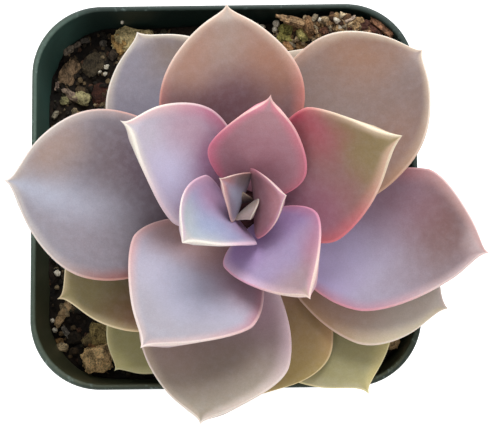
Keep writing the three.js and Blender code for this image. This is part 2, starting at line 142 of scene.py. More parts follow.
# Each leaf from the oldest to the youngest, as in the part's source apart from three of the
# youngest, whose bases are wider here and touch their neighbours
LEAVES = (
    leaf(304, 42, 35, 3.2, 7.4, 79.7, (7.2, 12.7), 3, point=1.8, skew=0.2),
    leaf(228.5, 38.5, 19.5, 3.4, 7.4, 80, (-2, 3), 8, widest=0.56),
    leaf(166, 30, 23, 3.4, 7.4, 82.5, (1, 5), 8),
    leaf(14, 31, 23, 3.4, 7.4, 81.8, (1, 6), 8),
    leaf(270, 34.8, 39, 3.2, 7.3, 84.8, (2, 8), 6, skew=0.2, point=3, widest=0.5),
    leaf(66, 36.6, 33, 3.6, 7.3, 85, (0, 4), 8, mucro=0.4),
    leaf(334, 43, 31.4, 3.6, 7.1, 87.5, (2.5, 11), 9, skew=-0.13, point=2.1, mucro=0.8, base=0.3),
    leaf(204, 39, 31, 4.6, 7.1, 88.6, (4, 8), 10),
    leaf(120, 41.5, 33.5, 5, 6.8, 89.3, (4, 8.5), 16, roll=2, twist=2.5, skew=0.09, point=2.2,
         widest=0.57, mucro=0.7, hollow=0.13),
    leaf(255.5, 43.2, 34.4, 5.2, 6.6, 92.3, (9.5, 29), 12, twist=11.5, sway=5.5, skew=0.17, point=1.9,
         widest=0.55, mucro=0.9, hollow=0.13, base=0.3),
    leaf(347.5, 48.5, 33.6, 4.5, 6.6, 91.2, (5, 21.5), 16, roll=-2.5, twist=8.5, sway=3, skew=0.25,
         point=1.6, widest=0.62, mucro=0.9, hollow=0.13, base=0.3),
    leaf(173.5, 47.8, 38.7, 5.4, 6.2, 94.1, (7.5, 26), 10.5, roll=1, twist=9.5, skew=0.02, point=2.2,
         widest=0.57, hollow=0.14, base=0.33),
    leaf(40.5, 47.1, 36.5, 4.5, 5.9, 94.5, (12, 12), 23, roll=-3, twist=-9, sway=1, skew=0.05,
         point=2.75, mucro=0.8, hollow=0.09),
    leaf(98, 40.1, 32.2, 5, 5.5, 97.75, (19, 25.5), 20, twist=8, sway=-8, skew=-0.03, point=2.15,
         widest=0.64, mucro=0.87, hollow=0.11),
    leaf(236.5, 36.2, 33.2, 5, 5.2, 97.8, (21.5, 32.5), 15, roll=2, twist=12, sway=-5, skew=0.1,
         point=1.46, widest=0.59, mucro=0.75, base=0.35),
    leaf(22, 35.9, 29.1, 4.8, 4.7, 100.75, (23.5, 45), 17, twist=28, sway=-4, skew=0.19, point=1.48,
         widest=0.7, mucro=0.6, hollow=0.27, base=0.4),
    leaf(142.5, 30.6, 25.4, 4, 4.5, 100.9, (30, 32), 22, twist=16.5, sway=11, skew=-0.14, point=1.8,
         widest=0.76, hollow=0.18, base=0.4),
    leaf(306, 27, 23, 3.8, 4, 102.7, (36, 42), 17, roll=2, twist=23.5, sway=-11, skew=0.14, point=1.7,
         widest=0.82, mucro=0.86, hollow=0.13, base=0.44),
    leaf(73, 24.4, 21.9, 3.6, 3.5, 103.9, (38, 45.5), 20.5, twist=11, sway=5, skew=0.04, point=1.7,
         widest=0.72, mucro=0.94, hollow=0.19, base=0.5),
    leaf(206.5, 21.2, 18.6, 3, 3, 105.1, (66.5, 30), 28.5, roll=5.5, twist=-12, sway=23, skew=-0.1,
         point=3.3, widest=0.96, mucro=0.45, base=0.54),
    leaf(358.5, 11.2, 15.3, 2.2, 2, 106.6, (68.5, 31), 23, roll=3.5, twist=2.5, sway=13.5, point=2.9,
         widest=0.66, mucro=0.55, base=0.6),
    leaf(131.5, 10.9, 12, 1.8, 0.9, 107.8, (71, 37), 14.5, roll=30, twist=-29, sway=19.5, point=1.45,
         widest=0.75, mucro=0.6, base=1),
    leaf(285.5, 5.9, 6.8, 1.5, 0.9, 107.6, (84, 16), 6, roll=22, twist=9.5, point=1.9, widest=0.52,
         mucro=0.1, base=0.5),
    leaf(100, 4.6, 5.4, 1.2, 0.4, 106.6, (84, 38), 5, twist=14, point=1.2, widest=0.88, mucro=0.1,
         base=0.5),
)


def wash(colour, side, along, wide, deep, much=0.7):
    """A soft patch of the leaf's tint, on some leaves painted light and shade: where it lies across (-1
    to 1) and along (0 to 1) a leaf, and its reach.
    """
    return dict(colour=colour, side=side, along=along, wide=wide, deep=deep, much=much)


def skin(heart, face, tip, point, left, right, rim, *washes):
    """Colours of a leaf: by the stem, on the face, towards the tip, at the point; each margin's
    near the stem and near the tip, with its width in millimetres; the pale line's near the stem
    and near the tip, with its widths on the left and right; soft patches."""
    return dict(heart=heart, face=face, tip=tip, point=point, left=left, right=right, rim=rim,
                washes=washes)


# Partly the leaves' own colours and partly painted light and shade: some hearts made lighter against the
# shade the inner leaves cast on them, the innermost leaves darker where the heart of the rosette lies in
# shade, and on some leaves darker washes and margins on the half that turns from the light
SKINS = (
    skin("#978e69", "#9f9870", "#a39c70", "#b3a977", ("#b0a474", "#cabd84", 7),
         ("#a59a79", "#b5ad88", 4), ("#d8cc96", "#e2d7a4", 0.45, 0.45)),
    skin("#867652", "#8c855c", "#989264", "#bcb47c", ("#a09468", "#c2bc88", 3.5),
         ("#a09468", "#b8ae7c", 3), ("#d6cc98", "#e6deae", 0.55, 0.5)),
    skin("#8a7f6c", "#94897a", "#a09078", "#b4a284", ("#a08c74", "#b09a80", 4),
         ("#a08c74", "#b09a80", 4), ("#ccb898", "#dcc8a8", 0.45, 0.45)),
    skin("#8a7f6c", "#94897a", "#a09078", "#b4a284", ("#a08c74", "#b09a80", 4),
         ("#a08c74", "#b09a80", 4), ("#ccb898", "#dcc8a8", 0.45, 0.45)),
    skin("#b88f78", "#967b54", "#98824f", "#a8946a", ("#c49a72", "#a8935c", 5),
         ("#a08260", "#9a8458", 4), ("#dcb894", "#e4d0a0", 0.45, 0.45)),
    skin("#8a7466", "#a08c7c", "#b8a492", "#ccbaa8", ("#b4a08c", "#c4b29e", 4),
         ("#bcaa98", "#cdbcaa", 4), ("#d8c6b2", "#e6d6c4", 0.45, 0.45)),
    skin("#9a7260", "#ac9080", "#bcb0a4", "#cbc0b6", ("#c4a8a0", "#d0c0b8", 3),
         ("#a2805f", "#d4c6a8", 5), ("#d8b8a8", "#ecdfd2", 0.45, 0.5)),
    skin("#54483a", "#6a5c42", "#8c8058", "#aca070", ("#8c6a4a", "#c2b088", 3.2),
         ("#a89068", "#c6b28a", 4), ("#cca06e", "#ead8ae", 0.5, 0.5),
         wash("#80543a", 0.85, 0.6, 0.4, 0.16, 0.75)),
    skin("#77717f", "#7c7784", "#86808a", "#a59a96", ("#a08e96", "#c0b4a6", 3),
         ("#a08c78", "#c3b6a2", 3), ("#dccac4", "#e8dfd2", 0.45, 0.55),
         wash("#86705c", -0.5, 0.8, 0.5, 0.12)),
    skin("#a38b8e", "#9e8a84", "#948979", "#a09484", ("#e4c8d0", "#c9b9ae", 4.5),
         ("#c8ab92", "#bcab9a", 3), ("#eed0d0", "#e8dcd0", 0.5, 0.4),
         wash("#d2aebf", 0.5, 0.3, 0.6, 0.16), wash("#b3948c", -0.5, 0.64, 0.6, 0.16, 0.5),
         wash("#8c7c70", 0.25, 0.74, 0.5, 0.12, 0.6)),
    skin("#c2ade0", "#a59aac", "#8a787c", "#a48686", ("#b87682", "#c8a29e", 4.5),
         ("#c0899c", "#ccb4b4", 3), ("#e69aa6", "#efd8d2", 0.4, 0.5),
         wash("#c2b7dc", -0.15, 0.34, 0.6, 0.15), wash("#7c5a56", 0.4, 0.77, 0.65, 0.17, 0.85),
         wash("#98697a", 0.65, 0.5, 0.5, 0.2, 0.6), wash("#d4c0c0", 0.4, 0.96, 0.6, 0.05, 0.6)),
    # Leaf 12: the dark washes on its right half are painted shade, where its fold turns from the light
    skin("#6e5e66", "#7e7880", "#8f8a92", "#a49c9b", ("#94605a", "#bdb4b0", 3.2),
         ("#a08886", "#bcaea4", 3), ("#dca698", "#e8ddd4", 0.4, 0.5),
         wash("#a8a9b8", 0.14, 0.78, 0.26, 0.26, 0.9), wash("#6a5a5e", -0.45, 0.52, 0.42, 0.18, 0.85),
         wash("#a08474", -0.62, 0.8, 0.42, 0.12, 0.75), wash("#8c8088", 0.6, 0.6, 0.35, 0.2, 0.5),
         wash("#54404c", -0.5, 0.34, 0.5, 0.13, 0.75)),
    skin("#a48882", "#937e76", "#84706a", "#9a8780", ("#ac8878", "#cdb8a2", 3.5),
         ("#a88268", "#c2ac98", 3.5), ("#d8b098", "#ecdfce", 0.45, 0.45),
         wash("#a67e66", 0.6, 0.78, 0.5, 0.15, 0.75), wash("#94705f", -0.7, 0.62, 0.4, 0.16, 0.6)),
    skin("#7c5860", "#8c6d6c", "#ac9286", "#c0b0a3", ("#a86e6c", "#d4b6a4", 3),
         ("#d0867c", "#d8bca8", 3.5), ("#e89a8c", "#eedccb", 0.4, 0.45),
         wash("#b28068", -0.75, 0.68, 0.45, 0.16, 0.8), wash("#6c4850", 0.05, 0.44, 0.45, 0.15, 0.85),
         wash("#b88a74", 0.7, 0.74, 0.35, 0.14, 0.6)),
    skin("#ae8a8c", "#aba5b5", "#a29ca5", "#ad9d9c", ("#b07c88", "#c6acaa", 3.5),
         ("#cc9c9a", "#c2aeaa", 3), ("#eec8c4", "#f2e2da", 0.55, 0.5),
         wash("#8f6e7a", 0.55, 0.34, 0.55, 0.12, 0.8), wash("#bbbad0", 0.05, 0.54, 0.45, 0.16),
         wash("#b08c84", -0.5, 0.22, 0.6, 0.12, 0.7)),
    skin("#845c6e", "#966c68", "#968058", "#c4b084", ("#c4546a", "#d8c0a4", 3),
         ("#c8686e", "#e0baa0", 3.8), ("#e8808a", "#f4e6c8", 0.5, 0.5),
         wash("#948058", -0.15, 0.82, 0.75, 0.16, 0.85), wash("#bc5c6c", 0.75, 0.52, 0.45, 0.14, 0.7),
         wash("#a4687c", -0.6, 0.3, 0.5, 0.14, 0.7)),
    skin("#8f6c84", "#b8a8bc", "#bbb1be", "#d2c8c1", ("#dacad6", "#dad0c6", 3.4),
         ("#bc6c86", "#dfbcbc", 4), ("#eccfd4", "#f6eee0", 0.9, 0.5),
         wash("#8a5c7c", -0.35, 0.3, 0.6, 0.12, 0.85), wash("#c6c2de", 0.4, 0.48, 0.45, 0.18),
         wash("#b58f9c", -0.55, 0.54, 0.4, 0.16, 0.6)),
    skin("#a082b4", "#9e8cac", "#a2888e", "#c6ac98", ("#a8708c", "#d4a4ae", 3.5),
         ("#d8b8d0", "#ceaeb0", 3), ("#e89cb4", "#f2dccc", 0.45, 0.45),
         wash("#7e6286", 0.55, 0.2, 0.6, 0.13), wash("#b07688", 0.75, 0.64, 0.3, 0.16, 0.7)),
    skin("#b27e8a", "#ae7c88", "#ba8a92", "#e6bcb6", ("#e07e98", "#e48ca0", 3.5),
         ("#c87484", "#dc8494", 3.5), ("#f08ca4", "#f6d0c8", 0.35, 0.45)),
    skin("#987a9a", "#9794b2", "#a9afb5", "#c9beb8", ("#ccbacb", "#cdc0ba", 2.5),
         ("#b88ea4", "#d4b4c6", 2.5), ("#ecc4d4", "#f4ecdf", 0.9, 0.4),
         wash("#929cba", 0.15, 0.64, 0.4, 0.15), wash("#ae86a4", -0.5, 0.34, 0.45, 0.16)),
    skin("#8e5e66", "#8a5c66", "#a8727a", "#cc9ca8", ("#c47e8c", "#d09cae", 2.2),
         ("#a86478", "#bc8ca0", 1.8), ("#cc8494", "#f0d6ca", 0.32, 0.3)),
    # Leaf 22: the dark right margin and the dark brown wash are painted shade on its cupped right half,
    # the blue-grey wash painted light on its fold
    skin("#8e8298", "#8a7888", "#a8767c", "#c08c8e", ("#e2bcba", "#d4a4a2", 1.8),
         ("#74504c", "#9c7472", 1.4), ("#e2b4aa", "#ecd0c4", 0.34, 0.25),
         wash("#5c483c", -0.8, 0.4, 0.45, 0.3, 0.85), wash("#9c9eb4", 0.15, 0.4, 0.3, 0.35, 0.8)),
    skin("#54403a", "#84746c", "#9c8884", "#a8948e", ("#84706a", "#8e7a74", 1),
         ("#8c7872", "#968480", 1), ("#c0b0a4", "#c8b8ac", 0.3, 0.3)),
    skin("#38251f", "#54403a", "#6a584e", "#7c6a5c", ("#4e3a32", "#5e4a42", 1),
         ("#4e3a32", "#5e4a42", 1), ("#847260", "#94826e", 0.3, 0.3)),
)


def chunk(at, size, turn, tint, lift=0.3, pitch=0):
    """A piece in the mix: its place, half sizes, turn in degrees, colour, the height of its
    middle over the mix, and how far its near end is raised in degrees."""
    return dict(at=at, size=size, turn=turn, tint=tint, lift=lift, pitch=pitch)


# The pieces that show between the leaves and the pot, from the top left round to the right
CHUNKS = (
    chunk((-21.7, 38.4), (4.9, 3.1, 2.4), -8, "#d0bc88"),
    chunk((-24.9, 38), (1.6, 2.2, 1.9), 20, "#b8935a"),
    chunk((-37.4, 31.6), (3.7, 1.9, 1.4), 60, "#80684e", 0),
    chunk((-31.2, 33.4), (3.1, 2.3, 1.2), 35, "#4a4030", 0),
    chunk((-34.2, 25.2), (2.1, 1.5, 1.3), -30, "#a0966c"),
    chunk((-36.8, 25.9), (2.3, 0.9, 1), -35, "#8c7866"),
    chunk((-38.4, 24.5), (1, 0.9, 0.8), 0, "#807a54"),
    chunk((-37.4, 37), (1.6, 0.8, 0.9), 35, "#857868"),
    chunk((-35.4, 38.2), (1, 0.6, 0.7), 40, "#6f6256"),
    chunk((-40.3, 28.2), (1.1, 0.5, 0.7), 80, "#9c8474"),
    chunk((-40.6, 21), (1, 0.6, 0.8), 60, "#8f8570"),
    chunk((-29.8, 26.3), (2.3, 1.8, 0.8), 80, "#422419"),
    chunk((-29, 38.2), (0.9, 0.7, 0.7), 0, "#5c554c"),
    chunk((-33.2, 39.2), (1.2, 0.6, 0.7), 10, "#4b453e"),
    chunk((-26.5, 35.4), (1.5, 1, 0.9), 50, "#4a3f33"),
    chunk((17.8, 40.7), (4.7, 1, 1), -14, "#ab8b66", 2.3, 16),
    chunk((20.4, 39.8), (1.2, 2.1, 1.5), 12, "#94714e", 0.8),
    chunk((15.7, 40.2), (2.3, 1.5, 1.5), 8, "#9a9654", 0.5),
    chunk((14.8, 38), (2, 1.2, 1.4), -12, "#aaa25c", 0.5),
    chunk((18.6, 38.2), (1.3, 1.6, 1.5), 20, "#a59a5e", 0.6),
    chunk((15.6, 36), (1.6, 1.3, 1.2), -20, "#ad8256", 0.4),
    chunk((18.7, 35.6), (1.3, 1.5, 1.1), 60, "#7a5c3a"),
    chunk((25, 38.8), (2.2, 1.1, 1), 20, "#6b4632"),
    chunk((31.4, 39.6), (3, 1.1, 0.9), 4, "#54342a"),
    chunk((33, 38.2), (1.8, 0.5, 0.7), -4, "#a4846a", 0.9),
    chunk((29.8, 40.7), (1.4, 0.4, 0.5), 28, "#b8a490", 0.9),
    chunk((37.4, 39.2), (3.4, 0.8, 1), -40, "#9c7054", 2.6),
    chunk((35.4, 38.4), (2.4, 0.8, 1), -38, "#5c382c", 1.6),
    chunk((-38.6, -26.6), (3.4, 1, 1), 62, "#ad9069"),
    chunk((-37.9, -30.8), (1.7, 0.6, 0.7), -55, "#857e72"),
    chunk((-29.8, -31.4), (2.4, 2.7, 1.6), 0, "#8c7a4c"),
    chunk((-32.6, -32.6), (1.4, 1, 1.1), 40, "#7a6a48"),
    chunk((-30.4, -37.2), (3.4, 2.9, 2.2), 10, "#e8c48c"),
    chunk((-28.4, -36.2), (1.8, 2.2, 1.9), -20, "#b8986c", 0.5),
    chunk((-31.5, -34.4), (0.9, 0.8, 0.9), 0, "#946c44", 0.5),
    chunk((-38.7, -34.4), (1.3, 1, 0.9), -10, "#d8bf94"),
    chunk((-39.4, -33), (0.8, 0.7, 0.7), 0, "#a88352"),
    chunk((38.6, -33.6), (1.9, 2.3, 1.8), -20, "#c8a87c"),
)
# White grains: place, half width, half height and height of the middle over the mix
GRAINS = (
    (12.6, 41.3, 0.85, 1, 2.4), (12.3, 40, 0.75, 0.9, 1.8), (9.3, 41, 0.75, 0.8, 1.2),
    (8, 41.1, 0.5, 0.5, 2.6), (26.8, 40.7, 1, 1, 0.8), (27.5, 39.2, 0.85, 0.8, 0.6),
    (22.9, 40.9, 0.6, 0.6, 1),
    (-28.2, 32.5, 0.65, 0.4, 0.6), (-28.6, 30.8, 0.5, 0.4, 0.6), (-24, 42.1, 0.45, 0.4, 5.4),
    (-41, -28.2, 0.5, 0.8, 1), (-40.5, -30.4, 0.6, 0.6, 0.5), (-39.9, -17, 0.8, 0.6, 0.5),
)
# Colours of the chips and crumbs, from the most to the least frequent
DULL = (
    "#1e1811", "#2a2217", "#382d1f", "#483a28", "#3c3a2a", "#4e3626", "#5e4e36", "#746044",
    "#8e7c5e",
)
# Colours of the fragments banked up against the wall
HEAP = ("#3a2618", "#6c5036", "#8a6c4a", "#a3845c", "#c0a680", "#d0bc98", "#8c7f68")
HEAP_FROM = (12, 36)
HEAP_TO = (39, 43)
# Least and greatest half length of the loose pieces
CHIP_HALF = (0.6, 2)
FRAGMENT_HALF = (0.4, 1.3)
CRUMB_HALF = (0.3, 0.95)
GRAIN_HALF = (0.3, 0.7)
# Height from which the stem is painted dark red between the leaves, as painted shade in the rosette's
# crevices
STEM_SHADE_FROM = 92
STEM_SIDES = 64
STEM_RIDGE = 0.12


def to_linear(code):
    """A colour written as #rrggbb, as linear red, green, blue and alpha."""
    parts = [int(code[i:i + 2], 16) / 255 for i in (1, 3, 5)]
    linear = [p / 12.92 if p <= 0.04045 else ((p + 0.055) / 1.055) ** 2.4 for p in parts]
    return (*linear, 1)


class Number:
    """A number that varies over a surface. Arithmetic on it adds Math nodes to its sheet."""

    def __init__(self, sheet, socket):
        self.sheet = sheet
        self.socket = socket

    def math(self, operation, *values):
        made = self.sheet.node("ShaderNodeMath", {"operation": operation}, dict(enumerate(values)))
        return Number(self.sheet, made.outputs[0])

    def __add__(self, other):
        return self.math("ADD", self, other)

    __radd__ = __add__

    def __sub__(self, other):
        return self.math("SUBTRACT", self, other)

    def __rsub__(self, other):
        return self.math("SUBTRACT", other, self)

    def __mul__(self, other):
        return self.math("MULTIPLY", self, other)

    __rmul__ = __mul__

    def __truediv__(self, other):
        return self.math("DIVIDE", self, other)

    def __pow__(self, other):
        return self.math("POWER", self, other)

    def rising(self, low, high):
        """0 below low and 1 above high, with a soft step between."""
        made = self.sheet.node(
            "ShaderNodeMapRange",
            {"interpolation_type": "SMOOTHSTEP"},
            {"Value": self, "From Min": low, "From Max": high},
        )
        return Number(self.sheet, made.outputs[0])

    def falling(self, low, high):
        """1 below low and 0 above high."""
        return 1 - self.rising(low, high)


class Sheet:
    """The nodes of one material."""

    def __init__(self, name):
        self.material = bpy.data.materials.new(name)
        self.material.use_nodes = True
        self.tree = self.material.node_tree
        self.tree.nodes.clear()

    def node(self, kind, settings=None, inputs=None):
        """Adds a node: its settings first, then the values or links of its sockets."""
        made = self.tree.nodes.new(kind)
        for name, value in (settings or {}).items():
            setattr(made, name, value)
        for name, value in (inputs or {}).items():
            if isinstance(name, int):
                socket = made.inputs[name]
            else:
                socket = next(s for s in made.inputs if s.name == name and s.enabled)
            if isinstance(value, Number):
                value = value.socket
            if isinstance(value, bpy.types.NodeSocket):
                self.tree.links.new(value, socket)
            else:
                socket.default_value = value
        return made

    def place(self):
        """Object coordinates, in metres."""
        return self.node("ShaderNodeTexCoord").outputs["Object"]

    def attribute(self, name):
        return self.node("ShaderNodeAttribute", {"attribute_name": name})

    def noise(self, place, size, detail=2.0, rough=0.5, stretch=None):
        """Soft noise around 0.5 whose features measure about size, in millimetres."""
        if stretch:
            place = self.node("ShaderNodeMapping", None, {"Vector": place, "Scale": stretch}).outputs[0]
        made = self.node(
            "ShaderNodeTexNoise",
            None,
            {"Vector": place, "Scale": 1 / (size * MM), "Detail": detail, "Roughness": rough},
        )
        return Number(self, made.outputs[0])

    def blend(self, share, first, second):
        """Colour between two, where share is 0 for the first and 1 for the second."""
        made = self.node(
            "ShaderNodeMix", {"data_type": "RGBA"}, {"Factor": share, "A": first, "B": second}
        )
        return next(s for s in made.outputs if s.enabled)

    def shade(self, colour, share):
        """A colour made lighter or darker by a number."""
        made = self.node(
            "ShaderNodeVectorMath", {"operation": "SCALE"}, {"Vector": colour, "Scale": share}
        )
        return made.outputs[0]

    def bump(self, height, depth, strength=1.0):
        """A normal for relief of that depth in millimetres."""
        made = self.node(
            "ShaderNodeBump", None, {"Height": height, "Distance": depth * MM, "Strength": strength}
        )
        return made.outputs[0]

    def finish(self, **sockets):
        """The surface shader, from its sockets by name with underscores for spaces."""
        inputs = {name.replace("_", " "): value for name, value in sockets.items()}
        shader = self.node("ShaderNodeBsdfPrincipled", None, inputs)
        self.node("ShaderNodeOutputMaterial", None, {"Surface": shader.outputs[0]})
        return self.material


def new_piece(name, bm, material, stands_for=(), sharp=None):
    """Makes a finished mesh, in metres, an object that rides on the part."""
    mesh = bpy.data.meshes.new(name)
    bm.to_mesh(mesh)
    bm.free()
    mesh.shade_smooth()
    if sharp is not None:
        mesh.set_sharp_from_angle(angle=math.radians(sharp))
    mesh.materials.append(material)
    piece = bpy.data.objects.new(name, mesh)
    bpy.context.scene.collection.objects.link(piece)
    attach(piece, "root")
    if stands_for:
        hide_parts(*stands_for)
    return piece


def in_metres(bm):
    """A mesh that was made in millimetres."""
    bmesh.ops.scale(bm, vec=(MM, MM, MM), verts=bm.verts)
    return bm


def square_reach(angle):
    """How far the outline of a rounded square of half width 1 lies from its middle."""
    folded = abs(math.atan2(math.sin(4 * angle), math.cos(4 * angle))) / 4
    across = math.cos(folded)
    up = math.sin(folded)
    middle = 1 - CORNER
    if up / across <= middle:
        return 1 / across
    return middle * (across + up) + math.sqrt(CORNER ** 2 - (middle * (across - up)) ** 2)


def square_off(bm):
    """Turns a round mesh about Z to the pot's rounded square plan."""
    for vert in bm.verts:
        radius = math.hypot(vert.co.x, vert.co.y)
        angle = math.atan2(vert.co.y, vert.co.x)
        angle += CORNER_CROWD * math.sin(4 * angle)
        reach = radius * square_reach(angle)
        vert.co.x = reach * math.cos(angle)
        vert.co.y = reach * math.sin(angle)


def turned(profile, steps):
    """A closed mesh, in millimetres, from a profile of radius and height from axis to axis."""
    bm = bmesh.new()
    verts = [bm.verts.new((radius, 0, height)) for radius, height in profile]
    edges = [bm.edges.new(pair) for pair in zip(verts, verts[1:])]
    bmesh.ops.spin(
        bm, geom=verts + edges, cent=(0, 0, 0), axis=(0, 0, 1), angle=2 * math.pi, steps=steps,
        use_merge=True,
    )
    bmesh.ops.remove_doubles(bm, verts=bm.verts, dist=1e-4)
    bmesh.ops.recalc_face_normals(bm, faces=bm.faces)
    return bm


def rounded(points, radius, steps=4):
    """The profile with its marked corners, those with a third value, turned to small arcs."""
    out = []
    for i, point in enumerate(points):
        if len(point) < 3:
            out.append(point)
            continue
        corner = Vector(point[:2])
        before = (Vector(points[i - 1][:2]) - corner).normalized()
        after = (Vector(points[i + 1][:2]) - corner).normalized()
        reach = radius * point[2]
        for step in range(steps + 1):
            t = step / steps
            start = corner + before * reach
            end = corner + after * reach
            curve = start.lerp(corner, t).lerp(corner.lerp(end, t), t)
            out.append((curve.x, curve.y))
    return out


def inside_half(height):
    """Half width of the pot's inside at a height, on the tapered wall."""
    return FOOT_HALF + (WALL_TOP - FOOT_HALF) * height / BAND_BOTTOM - WALL


def pot_mesh():
    ring_inside = FOOT_HALF - FOOT_BEVEL - FOOT_RING
    band_inside = RIM_HALF - WALL
    floor_top = FOOT_RECESS + FLOOR
    hold_top = BAND_BOTTOM - 1
    profile = rounded(
        [
            (0, 0),
            (FOOT_PAD, 0, 0.6),
            (FOOT_PAD + FOOT_BEVEL, FOOT_RECESS),
            (ring_inside - FOOT_BEVEL, FOOT_RECESS),
            (ring_inside, 0),
            (FOOT_HALF - FOOT_BEVEL / 2, 0, 1),
            (FOOT_HALF, FOOT_BEVEL),
            (WALL_TOP, BAND_BOTTOM, 0.6),
            (RIM_HALF - BAND_LEAN, BAND_BOTTOM + BAND_LEAN, 0.9),
            (RIM_HALF, POT_HEIGHT, 1),
            (band_inside, POT_HEIGHT, 1),
            (band_inside - LIP_ROUND, BAND_BOTTOM + BAND_INSIDE),
            (inside_half(hold_top), hold_top),
            (inside_half(floor_top), floor_top, 2),
            (0, floor_top),
        ],
        LIP_ROUND,
    )
    bm = turned(profile, POT_STEPS)
    inside = bm.verts.layers.float.new("inside")
    for vert in bm.verts:
        outer = RIM_HALF if vert.co.z > BAND_BOTTOM else inside_half(vert.co.z) + WALL
        vert[inside] = vert.co.xy.length < outer - WALL / 2 and vert.co.z > FLOOR
    square_off(bm)
    return bm


# Painted light on the inside of the wall at the left and the front, in its colours at the front and at
# the back, and a painted highlight on the top of the rim
LIT_WALL_FRONT = "#4a4c36"
LIT_WALL_BACK = "#3c5a52"
RIM_SHINE = "#5a6a5e"


def pot_material(settings):
    sheet = Sheet("pot_plastic")
    place = sheet.place()
    axes = sheet.node("ShaderNodeSeparateXYZ", None, {0: place})
    across, back, height = (Number(sheet, socket) for socket in axes.outputs)
    inside = Number(sheet, sheet.attribute("inside").outputs["Fac"])
    cloud = sheet.noise(place, 9, 3)
    fine = sheet.noise(place, 0.9, 3)
    streak = sheet.noise(place, 1.3, 3, 0.6, (1, 1, 0.3))
    colour = sheet.blend(back.rising(-36 * MM, 36 * MM), (*settings.colour, 1), (*settings.light, 1))
    # Painted light: the inside of the wall made lighter on the left and at the front
    lit_left = across.falling(-41 * MM, -30 * MM)
    lit_front = back.falling(-41 * MM, -30 * MM)
    wall_lit_share = inside * (lit_left * 1.2 + lit_front * 0.7) * (0.4 + cloud)
    lit_wall_tint = sheet.blend(back.rising(-30 * MM, 30 * MM), to_linear(LIT_WALL_FRONT), to_linear(LIT_WALL_BACK))
    colour = sheet.blend(wall_lit_share, colour, lit_wall_tint)
    # Painted highlight along the top of the rim, stronger on the left
    near_rim = height.rising((POT_HEIGHT - 0.6) * MM, (POT_HEIGHT - 0.15) * MM)
    colour = sheet.blend(near_rim * (0.12 + lit_left * 0.5), colour, to_linear(RIM_SHINE))
    scuffs = streak.rising(0.56, 0.7) * cloud.rising(0.42, 0.62) * near_rim
    colour = sheet.blend(scuffs * 0.6, colour, (*settings.scuff, 1))
    return sheet.finish(
        Base_Color=sheet.shade(colour, 0.75 + fine * 0.5),
        Roughness=0.42 + fine * 0.16 + scuffs * 0.3,
        Specular_IOR_Level=0.4,
        Normal=sheet.bump(fine + streak * 0.6, 0.05, 0.6),
    )


def mix_height(x, y):
    """Height of the mix, before its crumbs, as in the part's source."""
    height = MIX_TOP + MIX_SLOPE[0] * x + MIX_SLOPE[1] * y
    for strength, along_x, along_y, offset in MIX_BUMPS:
        height += strength * math.sin(along_x * x + along_y * y + offset)
    for at_x, at_y, rise, reach in MOUNDS:
        height += rise * math.exp(-((math.hypot(x - at_x, y - at_y) / reach) ** 2))
    return height


def crumble(x, y):
    """Fine relief of the mix, in millimetres."""
    place = Vector((x, y, 0))
    lumps = noise.fractal(place / FINE_LUMPS[0], 0.9, 2.1, 4)
    pits = noise.voronoi(place / FINE_PITS[0])[0][0]
    return FINE_LUMPS[1] * lumps + FINE_PITS[1] * (0.5 - pits)


def mix_mesh():
    half = inside_half(MIX_TOP) - MIX_CLEARANCE
    bm = bmesh.new()
    bmesh.ops.create_grid(bm, x_segments=MIX_CELLS, y_segments=MIX_CELLS, size=1)
    for vert in bm.verts:
        radius = half * max(abs(vert.co.x), abs(vert.co.y))
        angle = math.atan2(vert.co.y, vert.co.x)
        reach = radius * square_reach(angle)
        x, y = reach * math.cos(angle), reach * math.sin(angle)
        vert.co = (x, y, mix_height(x, y) + crumble(x, y))
    floor = FOOT_RECESS + FLOOR + MIX_CLEARANCE
    shrink = (inside_half(floor) - MIX_CLEARANCE - FLOOR_CORNER) / half
    rim = [edge for edge in bm.edges if edge.is_boundary]
    for height, share in ((MIX_TOP - 4, 1), (floor, shrink)):
        grown = bmesh.ops.extrude_edge_only(bm, edges=rim)["geom"]
        for vert in (item for item in grown if isinstance(item, bmesh.types.BMVert)):
            vert.co.x *= share
            vert.co.y *= share
            vert.co.z = height
        rim = [item for item in grown if isinstance(item, bmesh.types.BMEdge) and item.is_boundary]
    bmesh.ops.edgeloop_fill(bm, edges=rim)
    bmesh.ops.recalc_face_normals(bm, faces=bm.faces)
    return in_metres(bm)


def mix_material(settings):
    sheet = Sheet("peat_mix")
    place = sheet.place()
    clump = sheet.noise(place, 3.5, 4, 0.6)
    fine = sheet.noise(place, 0.7, 5, 0.65)
    fibre = sheet.noise(place, 0.9, 4, 0.6, (1, 0.2, 1))
    colour = sheet.blend(clump.rising(0.35, 0.7), (*settings.peat, 1), (*settings.peat_light, 1))
    colour = sheet.blend(fibre.rising(0.62, 0.72) * 0.6, colour, to_linear("#6b5138"))
    colour = sheet.shade(colour, 0.5 + fine)
    return sheet.finish(
        Base_Color=colour,
        Roughness=0.92,
        Specular_IOR_Level=0.25,
        Normal=sheet.bump(fine + clump * 0.5, 0.5, 0.8),
    )


def tinted_mesh():
    """An empty mesh and its layer with each lump's colour."""
    bm = bmesh.new()
    return bm, bm.verts.layers.float_color.new("tint")


# Roughness of a lump: strength and waves over it
SWELLS = ((0.3, 1.4), (0.24, 3.7), (0.08, 9))


